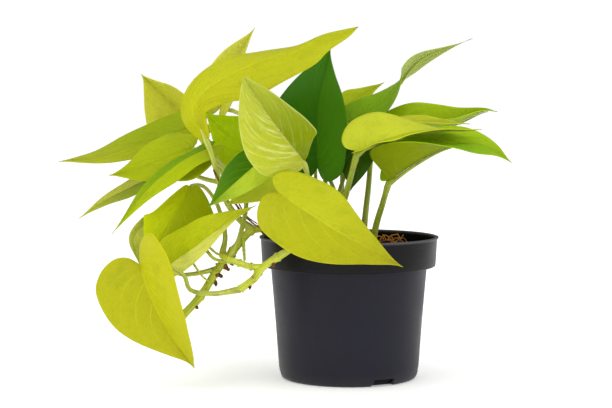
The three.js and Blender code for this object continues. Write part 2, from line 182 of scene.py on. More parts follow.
def add_stretch(tree, vector, factors):
    node = tree.nodes.new("ShaderNodeVectorMath")
    node.operation = "MULTIPLY"
    wire(tree, vector, node.inputs[0])
    node.inputs[1].default_value = factors
    return node.outputs[0]


def split(tree, vector):
    """The X, Y and Z of a vector."""
    node = tree.nodes.new("ShaderNodeSeparateXYZ")
    wire(tree, vector, node.inputs[0])
    return node.outputs


def new_group(name, inputs, outputs):
    """An empty node group with named sockets. Inputs are (kind, default), outputs are kinds."""
    group = bpy.data.node_groups.new(name, "ShaderNodeTree")
    for label, (kind, default) in inputs.items():
        socket = group.interface.new_socket(label, in_out="INPUT", socket_type=kind)
        if default is not None:
            socket.default_value = default
    for label, kind in outputs.items():
        group.interface.new_socket(label, in_out="OUTPUT", socket_type=kind)
    entry = group.nodes.new("NodeGroupInput").outputs
    leave = group.nodes.new("NodeGroupOutput").inputs
    return group, entry, leave


def place_group(tree, group, values):
    node = tree.nodes.new("ShaderNodeGroup")
    node.node_tree = group
    for label, value in values.items():
        wire(tree, value, node.inputs[label])
    return node.outputs


def new_finish(name, roughness, specular=0.5):
    """An empty material: its tree, its Principled shader and its object coordinates."""
    material = bpy.data.materials.new(name)
    material.use_nodes = True
    tree = material.node_tree
    shader = tree.nodes["Principled BSDF"]
    shader.inputs["Roughness"].default_value = roughness
    shader.inputs["Specular IOR Level"].default_value = specular
    coordinates = tree.nodes.new("ShaderNodeTexCoord").outputs
    return material, tree, shader, coordinates


def add_bump(tree, shader, height, distance, strength=1.0):
    node = tree.nodes.new("ShaderNodeBump")
    node.inputs["Strength"].default_value = strength
    node.inputs["Distance"].default_value = distance
    wire(tree, height, node.inputs["Height"])
    tree.links.new(node.outputs["Normal"], shader.inputs["Normal"])


print("red pixel in linear light:", [round(c, 3) for c in srgb(200, 30, 30)])

# %% [markdown]
# ## The floor
#
# A white sheet of card on a table that is lit from below, so shadows stay close to the pot, as in the
# photograph. It is only the stage, so it is a large plane, but even card has a little tooth.

# %% Lay the floor
bpy.ops.object.select_all(action="DESELECT")
bpy.ops.mesh.primitive_plane_add(size=12)
floor = bpy.context.object
floor.name = "floor"
card, tree, shader, coordinates = new_finish("white card", 0.7, 0.2)
grain = add_noise(tree, coordinates["Object"], 900)
colour = add_mix(tree, grain, (0.93, 0.93, 0.92, 1), (0.96, 0.96, 0.955, 1))
wire(tree, colour, shader.inputs["Base Color"])
shader.inputs["Emission Color"].default_value = (1, 1, 1, 1)
shader.inputs["Emission Strength"].default_value = 0.28
add_bump(tree, shader, grain, 0.0001, 0.3)
floor.data.materials.append(card)
print("floor side", floor.dimensions.x)

# %% [markdown]
# ## Two tools for growing things
#
# Leaves, stalks and roots all follow a curved line. `Line` runs smoothly through a few points and gives a
# place and a direction at any share of its length. `grown` adds a flat grid and moves each of its points
# where a rule says. A grid can be bent into a blade, or rolled into a tube, and it brings its own UV map:
# across first, along second. Moving each point in code was chosen over pulling them by hand, because a
# leaf's form follows a simple rule.


# %% Tools for lines and grown pieces
class Line:
    """A smooth line through points, measured by length."""

    def __init__(self, points, steps=240):
        given = np.array(points, float)
        ends = [2 * given[0] - given[1], *given, 2 * given[-1] - given[-2]]
        places = []
        for t in np.linspace(0, len(given) - 1, steps + 1):
            k = min(int(t), len(given) - 2)
            w = t - k
            a, b, c, d = ends[k : k + 4]
            out, into = (c - a) / 2, (d - b) / 2
            second, third = 3 * (c - b) - 2 * out - into, 2 * (b - c) + out + into
            places.append(b + out * w + second * w**2 + third * w**3)
        self.places = np.array(places)
        walked = np.concatenate([[0], np.cumsum(np.linalg.norm(np.diff(self.places, axis=0), axis=1))])
        self.length = walked[-1]
        self.shares = walked / self.length

    def at(self, share):
        share = min(max(share, 0), 1)
        return np.array([np.interp(share, self.shares, self.places[:, k]) for k in range(3)])

    def along(self, share):
        ahead = self.at(share + 0.004) - self.at(share - 0.004)
        return ahead / np.linalg.norm(ahead)


def deselect():
    bpy.ops.object.select_all(action="DESELECT")


def select_only(*pieces):
    """Selects these pieces, and makes the first of them the active one."""
    deselect()
    for piece in pieces:
        piece.select_set(True)
    bpy.context.view_layer.objects.active = pieces[0]


def grown(name, columns, rows, rule):
    """Adds a grid and moves each point to rule(across, along), both from 0 to 1, in millimetres."""
    deselect()
    bpy.ops.mesh.primitive_grid_add(x_subdivisions=columns, y_subdivisions=rows, size=2)
    piece = bpy.context.object
    piece.name = name
    for vertex in piece.data.vertices:
        across, along = (vertex.co.x + 1) / 2, (vertex.co.y + 1) / 2
        vertex.co = Vector(rule(across, along)) * MM
    bpy.ops.object.mode_set(mode="EDIT")
    bpy.ops.mesh.select_all(action="SELECT")
    bpy.ops.mesh.remove_doubles(threshold=1e-6)
    bpy.ops.object.mode_set(mode="OBJECT")
    bpy.ops.object.shade_smooth()
    return piece


def tube_rule(places, radii):
    """A rule that rolls a grid round a list of places, with a radius at each and both ends closed."""
    places = [np.array(p, float) for p in places]
    count = len(places)
    directions = [places[min(i + 1, count - 1)] - places[max(i - 1, 0)] for i in range(count)]
    directions[0] = places[2] - places[0]
    directions = [d / np.linalg.norm(d) for d in directions]
    side = np.cross(directions[0], (0, 0, 1))
    if np.linalg.norm(side) < 0.1:
        side = np.cross(directions[0], (0, 1, 0))
    sides = []
    for direction in directions:
        side = side - direction * side.dot(direction)
        side = side / np.linalg.norm(side)
        sides.append(side)

    def rule(across, along):
        k = round(along * (count - 1))
        angle = 2 * math.pi * (across % 1.0)
        across_way = np.cross(directions[k], sides[k])
        radius = 0 if k in (0, count - 1) else radii[k]
        out = sides[k] * math.cos(angle) + across_way * math.sin(angle)
        return places[k] + out * radius

    return rule


def grow_tube(name, places, radii, sides):
    """A closed tube through places. The first and last place are the middles of its ends."""
    return grown(name, sides, len(places) - 1, tube_rule(places, radii))


def joined(name, pieces):
    """Joins pieces into the first one."""
    select_only(*pieces)
    if len(pieces) > 1:
        bpy.ops.object.join()
    pieces[0].name = name
    return pieces[0]


def apply_modifier(piece, kind, **settings):
    select_only(piece)
    modifier = piece.modifiers.new(kind.lower(), kind)
    for label, value in settings.items():
        setattr(modifier, label, value)
    bpy.ops.object.modifier_apply(modifier=modifier.name)


def dress(piece, finish):
    """Gives a piece one finish."""
    piece.data.materials.clear()
    piece.data.materials.append(finish)


print("a straight line's length:", round(Line([(0, 0, 0), (0, 0, 10)]).length, 2))

# %% [markdown]
# ## The pot
#
# A nursery pot is moulded from thin black plastic: a tapered cup with a rounded foot, a wider band round
# the rim and notches at the foot for water. By hand one would start from a circle and pull it up ring by
# ring, which is just what extrude and resize do here. Rings that lie close together round the foot, the
# band and the lip. The same tool will raise the soil.

# %% Raise the pot from a circle
POT_RINGS = [  # radius and height of each ring, from the foot up, over the lip and down inside
    (42.3, 0.0), (43.8, 0.25), (45.0, 1.0), (45.9, 2.4), (46.4, 4.4), (46.6, 6.6), (46.9, 7.4),
    (49.3, 40.0), (51.9, 71.0), (52.2, 74.2), (52.7, 74.9), (53.6, 75.1), (57.0, 75.1), (57.8, 75.5),
    (58.0, 76.4), (58.2, 78.5), (58.9, 91.5), (59.0, 93.3), (59.7, 93.7), (60.0, 94.2), (59.9, 94.8),
    (59.3, 95.0), (57.9, 94.9), (57.4, 94.2), (57.0, 85.0), (56.5, 77.4), (55.6, 76.4), (51.2, 75.8),
    (50.7, 74.6), (47.8, 40.0), (44.9, 4.4), (43.2, 2.0), (41.5, 1.6), (20.0, 1.6), (6.0, 1.6),
]


def raise_rings(name, sides, rings):
    """A filled circle at the first ring, pulled up ring by ring and closed at the last."""
    (radius, height), *above = rings
    deselect()
    bpy.ops.mesh.primitive_circle_add(
        vertices=sides, radius=radius * MM, fill_type="NGON", location=(0, 0, height * MM)
    )
    bpy.ops.object.transform_apply(location=True)
    piece = bpy.context.object
    piece.name = name
    bpy.ops.object.mode_set(mode="EDIT")
    bpy.ops.mesh.select_mode(type="EDGE")
    bpy.ops.mesh.select_all(action="SELECT")
    for wide, high in above:
        bpy.ops.mesh.extrude_edges_move(TRANSFORM_OT_translate={"value": (0, 0, (high - height) * MM)})
        share = wide / radius
        bpy.ops.transform.resize(value=(share, share, 1), center_override=(0, 0, high * MM))
        radius, height = wide, high
    bpy.ops.mesh.fill()
    bpy.ops.mesh.select_all(action="SELECT")
    bpy.ops.mesh.normals_make_consistent(inside=False)
    bpy.ops.object.mode_set(mode="OBJECT")
    return piece


pot = raise_rings("nursery_pot", 128, POT_RINGS)
print("pot height", round(pot.dimensions.z, 4), "width", round(pot.dimensions.x, 4))

# %% [markdown]
# Three notches let the water out. Each is a wedge, narrower at its top, pushed through the wall at the
# foot. The boolean cuts cleanly, and the wedge leaves slanted sides like a moulded notch.

# %% Cut the notches
NOTCH_TURNS = (29, 149, 269)  # degrees from the front
NOTCH_SIZE = Vector((18.5, 20, 5.8)) * MM  # width at the foot, depth through the wall, height of the wedge
NOTCH_PLACE, NOTCH_TOP = Vector((0, -48, 1.9)) * MM, Vector((0, -48, 4.8)) * MM
NOTCH_NARROWING = 0.78
SHARP_EDGE = 28  # edges that turn by more than this, in degrees, stay sharp
for turn in NOTCH_TURNS:
    deselect()
    bpy.ops.mesh.primitive_cube_add(size=1, location=NOTCH_PLACE)
    wedge = bpy.context.object
    wedge.scale = NOTCH_SIZE
    bpy.ops.object.transform_apply(location=True, rotation=False, scale=True)
    bpy.ops.object.mode_set(mode="EDIT")
    bpy.ops.mesh.select_all(action="DESELECT")
    bpy.ops.object.mode_set(mode="OBJECT")
    for vertex in wedge.data.vertices:
        vertex.select = vertex.co.z > NOTCH_PLACE.z
    bpy.ops.object.mode_set(mode="EDIT")
    bpy.ops.transform.resize(value=(NOTCH_NARROWING, 1, 1), center_override=NOTCH_TOP)
    bpy.ops.object.mode_set(mode="OBJECT")
    wedge.rotation_euler.z = math.radians(turn)
    bpy.ops.object.transform_apply(location=False, rotation=True, scale=False)
    apply_modifier(pot, "BOOLEAN", object=wedge, operation="DIFFERENCE", solver="EXACT")
    bpy.data.objects.remove(wedge)
    print("notch cut at", turn, "degrees")
select_only(pot)
bpy.ops.object.shade_smooth_by_angle(angle=math.radians(SHARP_EDGE))

# %% [markdown]
# The plastic is charcoal rather than black, and satin. The lip is painted a little lighter, a painted
# highlight along the rim. Fine scratches run round it from the nesting of pots, a little dust lies in
# patches near the foot, and the band is painted darker than the wall under it, a painted shade.

# %% Finish the pot
plastic, tree, shader, coordinates = new_finish("charcoal plastic", 0.42, 0.2)
place = coordinates["Object"]
height = split(tree, place)["Z"]
cloud = add_noise(tree, place, 34, 4)
scratch = add_noise(tree, add_stretch(tree, place, (60, 60, 1400)), 1, 4, 0.7)
speck = add_noise(tree, place, 1900, 2)
lip_highlight = add_ramp(tree, height, 0.0925, 0.0950)
foot_dust = times(tree, add_ramp(tree, height, 0.010, 0.0, 0, 0.2), cloud)
# Above 75 mm the plastic is painted almost black, a painted shade on the band.
collar_shade = add_ramp(tree, height, 0.0745, 0.0755)
colour = add_mix(tree, cloud, srgb(22, 21, 32), srgb(29, 28, 42))
colour = add_mix(tree, times(tree, collar_shade, 0.95), colour, srgb(2, 2, 4))
colour = add_mix(tree, add_ramp(tree, scratch, 0.62, 0.80, 0, 0.16), colour, srgb(78, 78, 84))
# The lip is painted lighter: a painted highlight along the rim.
colour = add_mix(tree, times(tree, lip_highlight, 0.45), colour, srgb(118, 118, 124))
colour = add_mix(tree, foot_dust, colour, srgb(104, 98, 90))
colour = add_mix(tree, add_ramp(tree, speck, 0.72, 0.80, 0, 0.5), colour, srgb(120, 114, 104))
wire(tree, colour, shader.inputs["Base Color"])
worn = add_ramp(tree, scratch, 0.5, 0.8, 0, 0.12)
wire(tree, plus(tree, add_ramp(tree, cloud, 0.3, 0.7, 0.36, 0.46), worn), shader.inputs["Roughness"])
add_bump(tree, shader, plus(tree, scratch, times(tree, speck, 0.3)), 0.00008, 0.5)
dress(pot, plastic)
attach(pot, "root")
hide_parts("pot")
print("pot faces", len(pot.data.polygons))

# %% [markdown]
# ## The soil
#
# Potting soil fills the pot to the band and mounds a little in the middle. It begins as the pot did, ring
# upon ring, and its top is then made lumpy: each point rises or sinks by a noise, more in the middle than
# at the wall.

# %% Fill the pot with soil
SOIL_RINGS = [  # radius and height of each ring, from the pot's floor up and in to the middle
    (41.4, 2.0), (43.6, 4.2), (49.9, 74.0), (55.6, 77.6), (55.9, 85.2), (55.0, 85.9), (53.0, 86.2),
    (50.0, 86.5), (47.0, 86.9), (44.0, 87.2), (41.0, 87.4), (38.0, 87.6), (34.0, 87.9), (30.0, 88.3),
    (26.0, 89.0), (22.0, 89.6), (18.0, 90.0), (14.0, 90.2), (10.0, 90.5), (6.0, 90.8), (2.5, 91.0),
]
SOIL_EDGE = 52  # beyond this radius the lumps are lower, in millimetres
soil_top = sorted(ring for ring in SOIL_RINGS if ring[1] > 85)


def soil_lump(x, y):
    """How far the soil rises or sinks at a place, in millimetres."""
    broad = 0.9 * math.sin(0.21 * x + 1.3) * math.cos(0.17 * y - 0.4)
    small = 1.3 * noise.noise((x * 0.16, y * 0.16, 3.1)) + 0.8 * noise.noise((x * 0.45, y * 0.45, 8.7))
    return (broad + small) * (1 if math.hypot(x, y) < SOIL_EDGE else 0.4)


def soil_height(x, y):
    """The soil's surface at a place, in millimetres."""
    return float(np.interp(math.hypot(x, y), *zip(*soil_top))) + soil_lump(x, y)


soil = raise_rings("potting_soil", 96, SOIL_RINGS)
for vertex in soil.data.vertices:
    if vertex.co.z > 84 * MM:
        vertex.co.z += soil_lump(vertex.co.x / MM, vertex.co.y / MM) * MM
select_only(soil)
bpy.ops.object.shade_smooth()
print("soil stands", round(max(v.co.z for v in soil.data.vertices), 4), "high")

# %% [markdown]
# Crumbs lie all over it. One crumb is a coarse ball pulled out of round; it is copied with its own mesh,
# turned and sized by a seeded draw, and all the copies are joined, so the soil stays one piece.

# %% Scatter crumbs of soil
CRUMB_COUNT, CRUMB_REACH = 230, 54.0  # how many, and how far out they lie
CRUMB_SIZES = (0.7, 0.9, 1.1, 1.4, 1.8, 2.4)
draw = random.Random(11)
crumbs = []
for _ in range(CRUMB_COUNT):
    angle, radius = draw.uniform(0, 2 * math.pi), CRUMB_REACH * math.sqrt(draw.random())
    x, y = radius * math.cos(angle), radius * math.sin(angle)
    size = draw.choice(CRUMB_SIZES) * (1 if radius < 50 else 0.7)
    if not crumbs:
        deselect()
        bpy.ops.mesh.primitive_ico_sphere_add(subdivisions=2, radius=MM)
        crumb = bpy.context.object
        for vertex in crumb.data.vertices:
            vertex.co *= 1 + 0.45 * noise.noise(vertex.co / MM * 1.7)
    else:
        crumb = bpy.data.objects.new("crumb", crumbs[0].data.copy())
        bpy.context.collection.objects.link(crumb)
    crumb.location = Vector((x, y, soil_height(x, y) + 0.25 * size)) * MM
    crumb.scale = [size * draw.uniform(low, high) for low, high in ((0.8, 1.3), (0.8, 1.2), (0.6, 0.9))]
    crumb.rotation_euler = (0.4, 0.2, draw.uniform(0, 6.28))
    crumbs.append(crumb)
crumbs = joined("soil_crumbs", crumbs)
bpy.ops.object.transform_apply(location=True, rotation=True, scale=True)
bpy.ops.object.shade_smooth()
print("crumb faces", len(crumbs.data.polygons))

# %% [markdown]
# Strands of coir, the husk fibre that is mixed into potting soil, lie on top. Each is a thin tube along a
# wandering line. Most are rusty orange and half buried, and a few stand up near the rim, as on the real
# pot.

# %% Lay the coir strands
COIR_CURLS = [  # where each curl stands that shows over the rim: place, and how it runs
    ((24, 6), [(-4, 0, -1.0), (-3, -1, 2.0), (-2, -1, 5.0), (1, 0, 5.6), (4, 1, 2.0), (6, 1, -0.8)]),
    ((34, 2), [(-7, 1, -1.0), (-5, 0, 2.0), (-2, -1, 4.2), (2, -1, 2.4), (6, 0, -0.8)]),
    ((30, 14), [(-5, 2, -0.8), (-3, 0, 3.8), (-1, -1, 6.6), (0, -1, 3.2), (1, 0, -0.8)]),
    ((27, -4), [(-9, 1, -0.8), (-4, 0, 2.8), (2, 0, 3.4), (7, -1, 1.6), (11, -1, -0.8)]),
    ((20, 12), [(-6, 1, -0.8), (-3, 0, 2.8), (2, 2, 4.4), (5, 4, 1.6), (7, 5, -0.8)]),
    ((35, 18), [(-6, 0, -0.8), (-1, 1, 3.4), (3, 0, 4.8), (5, -1, 2.0), (6, -2, -0.8)]),
    ((14, -2), [(-5, -2, -0.8), (-2, 0, 3.0), (3, 1, 3.8), (8, 2, 1.0), (9, 3, -0.8)]),
    ((36, 8), [(-2, 0, -0.8), (-1, 0, 3.0), (1, -1, 7.4)]),
    ((25, 10), [(1, 0, -0.8), (0, 0, 3.4), (-2, 0, 6.8)]),
    ((29, 6), [(-3, 0, -0.8), (-1, 1, 4.0), (4, 0, 7.0)]),
    ((33, 12), [(2, 0, -0.8), (2, 1, 4.6), (0, 0, 8.0)]),
]
CURL_STEPS, STRAND_STEPS, STRAND_COUNT = 24, 12, 60
STRAND_GIRTHS = (0.16, 0.22, 0.3, 0.45)
strands = []
for (x, y), curl in COIR_CURLS:
    line = Line([(x + a, y + b, soil_height(x + a, y + b) + c) for a, b, c in curl])
    places = [line.at(k / CURL_STEPS) for k in range(CURL_STEPS + 1)]
    radii = [0.42 + 0.12 * math.sin(1.3 * k) for k in range(CURL_STEPS + 1)]
    strands.append(grow_tube("strand", places, radii, 6))
draw = random.Random(23)
for _ in range(STRAND_COUNT):
    angle, radius = draw.uniform(0, 2 * math.pi), 8 + 42 * math.sqrt(draw.random())
    turn, reach, girth = draw.uniform(0, math.pi), draw.uniform(3, 9), draw.choice(STRAND_GIRTHS)
    bends = []
    for k in (-1, -0.4, 0.3, 1):
        x = radius * math.cos(angle) + k * reach * math.cos(turn + 0.5 * k) + draw.uniform(-1, 1)
        y = radius * math.sin(angle) + k * reach * math.sin(turn + 0.5 * k) + draw.uniform(-1, 1)
        pull = max(1, math.hypot(x, y) / 54.5)  # keeps the strand inside the pot
        x, y = x / pull, y / pull
        bends.append((x, y, soil_height(x, y) + draw.uniform(0.1, 1.4) * (1 - abs(k) ** 3)))
    line = Line(bends)
    places = [line.at(k / STRAND_STEPS) for k in range(STRAND_STEPS + 1)]
    strands.append(grow_tube("strand", places, [girth] * (STRAND_STEPS + 1), 5))
coir = joined("coir_strands", strands)
print("coir strands", len(strands))

# %% [markdown]
# Damp soil is nearly black brown, with paler dry grains. Toward the bottom, where it shows through the
# notches, it is painted darker still, a painted shade inside the pot. The coir is rusty, and each strand
# takes its own shade from a noise that is wide enough to change little along one strand.

# %% Finish the soil and the coir
earth, tree, shader, coordinates = new_finish("potting soil", 0.92, 0.25)
place = coordinates["Object"]
coarse, fine = add_noise(tree, place, 160, 5), add_noise(tree, place, 900, 4, 0.65)
colour = add_mix(tree, coarse, srgb(22, 15, 9), srgb(66, 46, 26))
colour = add_mix(tree, add_ramp(tree, fine, 0.62, 0.72, 0, 0.8), colour, srgb(112, 82, 50))
bottom_shade_height = split(tree, place)["Z"]
# From 30 mm down the soil is painted nearly black: painted shade inside the pot.
colour = add_mix(tree, add_ramp(tree, bottom_shade_height, 0.03, 0.01, 0, 0.9), colour, srgb(8, 6, 5))
wire(tree, colour, shader.inputs["Base Color"])
add_bump(tree, shader, plus(tree, fine, times(tree, coarse, 2)), 0.0009, 0.9)
for piece in (soil, crumbs):
    dress(piece, earth)
    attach(piece, "root")
    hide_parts("soil")
husk, tree, shader, coordinates = new_finish("coir", 0.8, 0.3)
shade = add_noise(tree, coordinates["Object"], 90, 2)
fleck = add_noise(tree, coordinates["Object"], 2600, 3)
colour = add_mix(tree, add_ramp(tree, shade, 0.35, 0.65), srgb(112, 62, 22), srgb(190, 124, 52))
colour = add_mix(tree, add_ramp(tree, fleck, 0.55, 0.75, 0, 0.6), colour, srgb(74, 40, 18))
wire(tree, colour, shader.inputs["Base Color"])
add_bump(tree, shader, fleck, 0.0002, 0.8)
dress(coir, husk)
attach(coir, "root")
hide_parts("soil")
print("soil and coir finished")

# %% [markdown]
# ## What a leaf is made of
#
# A pothos leaf is a heart: two lobes beside the stalk, widest near the base, and a pointed tip. The
# outline is given as rows from base to tip. Each row says how far along the rib its edge lies, how wide
# it is, and where it leaves the rib, so the rows sweep back round the lobes just as the side veins do.
# Each leaf then gets its own rib in space, two half widths, and the angles at which its halves fold up
# from the rib.

# %% The outline of a leaf
HEART = np.array([
    (0, 0, 0), (-0.09, 0.18, 0.02), (-0.12, 0.45, 0.05), (-0.07, 0.75, 0.09), (0.05, 0.95, 0.16),
    (0.21, 1, 0.27), (0.39, 0.91, 0.4), (0.57, 0.68, 0.55), (0.74, 0.38, 0.71), (0.88, 0.13, 0.86),
    (0.95, 0.035, 0.94), (1, 0, 1),
])  # along, across, vein
BLADE_ROWS, BLADE_COLUMNS = 60, 26
PLAIN_LEAF = {"lobe": (1, 1), "sweep": (0, 0), "taper": (1, 1)}


def outline_of(leaf, side):
    """The rows of one half as a smooth line: the heart, changed by the leaf's own lobe, sweep and taper."""
    lobe, sweep, taper = ({**PLAIN_LEAF, **leaf}[key][side] for key in ("lobe", "sweep", "taper"))
    rows = []
    for along, across, vein in HEART:
        edge = along - min(along, 0) * (1 - lobe) + sweep * across * (1 - along) ** 3
        rows.append((edge, across if along < 0.3 else across**taper, vein))
    return Line(rows, BLADE_ROWS).places


print("widest row", outline_of({}, 0)[25].round(2))

# %% [markdown]
# ## Bending the blade
#
# The rib carries a frame: along it, up from the upper skin, and right across it. A half blade leans up
# from the rib by its fold. Real blades are never flat between the folds: the halves swell a little, sink
# along every side vein, and ripple at the edge, and the rib lies in a groove. Those come as small heights
# along the blade's own normal.


# %% A rule for a blade
def unit(vector):
    vector = np.array(vector, float)
    return vector / np.linalg.norm(vector)


def blade_frame(leaf, line, share):
    """Place, right and up at a share of the rib. Behind the base the frame goes on straight back."""
    inside = min(max(share, 0), 1)
    along = line.along(inside)
    up = unit(leaf["face"]) * (1 - inside) + unit(leaf.get("face_tip", leaf["face"])) * inside
    up = unit(up - along * up.dot(along))
    return line.at(inside) + along * (share - inside) * line.length, np.cross(along, up), up


VEIN_SWEEP, VEIN_BEND = 0.34, 0.06  # how far the side veins lean and bend toward the tip
RIPPLE, QUILT, GROOVE, FRILL = 1.2, 0.22, 0.25, 0.45  # heights in millimetres


def blade_rule(leaf):
    line = Line(leaf["rib"])
    outlines = [outline_of(leaf, 0), outline_of(leaf, 1)]
    fold, fold_tip = leaf["fold"], leaf.get("fold_tip", leaf["fold"])
    wander = leaf["rib"][0][0]

    def rule(across, along):
        v = 2 * across - 1
        side, sign, a = (0, -1, -v) if v < 0 else (1, 1, v)
        edge, width, vein = outlines[side][round(along * BLADE_ROWS)]
        width = max(width, 0) * (1 + 0.02 * math.sin(21 * along + 4 * side + wander))
        half = leaf["half"][side]
        share = vein + (edge - vein) * a
        place, right, up = blade_frame(leaf, line, share)
        blend = max(share, 0)
        tilt = math.radians(fold[side] * (1 - blend) + fold_tip[side] * blend)
        reach = a * width * half
        ripple = RIPPLE * (a * width) ** 2 * math.sin(9 * share + 2.4 * side + wander)
        place = place + right * sign * reach * math.cos(tilt) + up * (reach * math.sin(tilt) + ripple)
        normal = up * math.cos(tilt) - right * sign * math.sin(tilt)
        swell = 0.035 * half * width * math.sin(math.pi * a) ** 0.8 if 0 < a < 1 else 0
        row = along - a * (VEIN_SWEEP + VEIN_BEND * a)
        quilt = QUILT * width * math.sin(math.pi * min(a * 1.1, 1)) * math.cos(15 * math.pi * row)
        groove = -GROOVE * math.exp(-((reach / 1.6) ** 2)) * (1 - along)
        frill = FRILL * a**4 * width * math.sin(31 * along + 5 * side + wander)
        return place + normal * (swell + quilt + groove + frill)

    return rule


print("blade grid", BLADE_COLUMNS, "by", BLADE_ROWS)

# %% [markdown]
# ## The skin of a leaf
#
# The upper skin is waxy. Side veins show as slightly paler, sunken lines, and pale streaks run beside
# them, the marbling of the variety: strong on one leaf and faint on the rest, in patches, and weaker on
# the right half. The margin is paler, partly its own colour and partly a painted glow of light through the
# thin edge. The underside is paler and more matt, with the veins raised. The pattern reads the blade's
# own UV map, where U runs across and V from base to tip, so the veins follow the rows of the outline.

# %% The pattern shared by all leaves
COLOUR, VALUE, VECTOR = "NodeSocketColor", "NodeSocketFloat", "NodeSocketVector"
pattern, entry, leave = new_group(
    "leaf pattern",
    {
        "UV": (VECTOR, None), "Object": (VECTOR, None), "Left": (COLOUR, None), "Right": (COLOUR, None),
        "Tip": (COLOUR, None), "Streak Colour": (COLOUR, None), "Streaks": (VALUE, 0.2),
        "Veins": (VALUE, 0.3), "Relief": (VALUE, 1.0), "Seed": (VALUE, 0.0),
    },
    {"Color": COLOUR, "Height": VALUE, "Gloss": VALUE},
)
u, v, _ = split(pattern, entry["UV"])
a = add_math(pattern, "ABSOLUTE", add_math(pattern, "MULTIPLY_ADD", u, 2.0, -1.0))
wobble = add_noise(pattern, entry["Object"], 45, 2)
curve = times(pattern, a, add_math(pattern, "MULTIPLY_ADD", a, -VEIN_BEND, -VEIN_SWEEP))
row = plus(pattern, v, add_math(pattern, "MULTIPLY_ADD", wobble, 0.02, curve))
side = add_ramp(pattern, u, 0.49, 0.51)


def vein_lines(count, thickness):
    """Thin lines along the rows: 1 on a vein, 0 between them."""
    phase = add_math(pattern, "MULTIPLY_ADD", row, count, 0.5)
    phase = plus(pattern, phase, times(pattern, side, 0.2))
    saw = add_math(pattern, "SUBTRACT", add_math(pattern, "FRACT", phase), 0.5)
    return add_ramp(pattern, add_math(pattern, "ABSOLUTE", saw), thickness, 0.0)


lateral = times(pattern, vein_lines(7.5, 0.12), add_ramp(pattern, a, 1.0, 0.2, 0.1, 1))
hair = times(pattern, vein_lines(45, 0.3), add_ramp(pattern, a, 1.0, 0.5, 0.2, 1))
midrib = add_ramp(pattern, a, 0.055, 0.015)
beside_veins = pattern.nodes.new("ShaderNodeCombineXYZ")
stretched = (times(pattern, u, 6.0), times(pattern, row, 34.0), entry["Seed"])
for socket, value in zip(beside_veins.inputs, stretched):
    wire(pattern, value, socket)
streak = add_noise(pattern, beside_veins.outputs[0], 1.0, 3, 0.6)
blotch = add_noise(pattern, entry["Object"], 70, 3)
mottle = add_noise(pattern, entry["Object"], 420, 2)
# Each half takes its own colour. On some leaves the darker half is painted shade, and on one the paler half
# is a painted sheen.
colour = add_mix(pattern, side, entry["Left"], entry["Right"])
colour = add_mix(pattern, add_ramp(pattern, v, 0.45, 1.0), colour, entry["Tip"])
darker = add_mix(pattern, 0.5, colour, srgb(60, 96, 8))
colour = add_mix(pattern, add_ramp(pattern, blotch, 0.5, 0.75, 0, 0.28), colour, darker)
colour = add_mix(pattern, add_ramp(pattern, mottle, 0.45, 0.75, 0, 0.2), colour, darker)
amount = times(pattern, add_ramp(pattern, streak, 0.46, 0.74), entry["Streaks"])
amount = times(pattern, amount, add_ramp(pattern, side, 0, 1, 1, 0.35))
amount = times(pattern, amount, add_ramp(pattern, blotch, 0.38, 0.6, 0.3, 1))
colour = add_mix(pattern, amount, colour, entry["Streak Colour"])
lines = add_math(pattern, "MAXIMUM", midrib, times(pattern, lateral, 0.6))
colour = add_mix(pattern, times(pattern, lines, entry["Veins"]), colour, entry["Streak Colour"])
# The margin is painted paler: its own pale edge and a painted glow of light through it.
margin_glow = add_ramp(pattern, a, 0.955, 0.995, 0, 0.32)
colour = add_mix(pattern, margin_glow, colour, entry["Streak Colour"])
wire(pattern, colour, leave["Color"])
deep = plus(pattern, times(pattern, midrib, 1.2), times(pattern, lateral, 0.7))
deep = plus(pattern, deep, times(pattern, hair, 0.18))
relief = times(pattern, deep, entry["Relief"])
wire(pattern, plus(pattern, relief, times(pattern, mottle, 0.12)), leave["Height"])
wire(pattern, add_ramp(pattern, blotch, 0.3, 0.7), leave["Gloss"])
print("pattern nodes", len(pattern.nodes))


# %% [markdown]
# Each leaf then has two finishes, one a side. A thin leaf also glows where light comes through, so a
# little light is let in under the skin. Stalks come in two greens, so that those on the right can be as
# deep as in the photograph.


# %% Finishes for a leaf
SKIN_DEPTH = 0.74  # the noted colours were seen in strong light, so the skins are drawn a little deeper


def paler(shade):
    """The same green with more light and a little less depth, for veins and streaks."""
    red, green, blue = shade[:3]
    return min(1.45 * red + 0.03, 1), min(1.45 * green + 0.03, 1), min(1.6 * blue, 1), 1


def skin_shades(look, under):
    """The colours of the left half, the right half and the tip, in linear light."""
    shades = [tuple(SKIN_DEPTH * c for c in srgb(*colour)) for colour in look["colours"]]
    if not under:
        return shades
    if "under" in look:
        return [srgb(*look["under"])] * 3
    return [tuple(0.75 * c + 0.15 * p for c, p in zip(shade, srgb(178, 192, 96))) for shade in shades]


def leaf_skin(name, look, under):
    material, tree, shader, coordinates = new_finish(name, 0.40, 0.08)
    uv = tree.nodes.new("ShaderNodeUVMap")
    uv.uv_map = "UVMap"
    left, right, tip = skin_shades(look, under)
    outputs = place_group(tree, pattern, {
        "UV": uv.outputs[0], "Object": coordinates["Object"], "Left": left, "Right": right, "Tip": tip,
        "Streak Colour": srgb(*look["streak"]) if "streak" in look else paler(left),
        "Streaks": look["streaks"] * (0.5 if under else 1), "Veins": look.get("veins", 0.15),
        "Relief": 1.0 if under else -1.0, "Seed": look["seed"],
    })
    wire(tree, outputs["Color"], shader.inputs["Base Color"])
    matt = (0.5, 0.62) if under else (0.33, 0.45)
    wire(tree, add_ramp(tree, outputs["Gloss"], 0, 1, *matt), shader.inputs["Roughness"])
    add_bump(tree, shader, outputs["Height"], 0.00035, 0.8)
    shader.inputs["Subsurface Weight"].default_value = 0.18
    shader.inputs["Subsurface Radius"].default_value = (1.0, 1.0, 0.25)
    shader.inputs["Subsurface Scale"].default_value = 0.0012
    return material


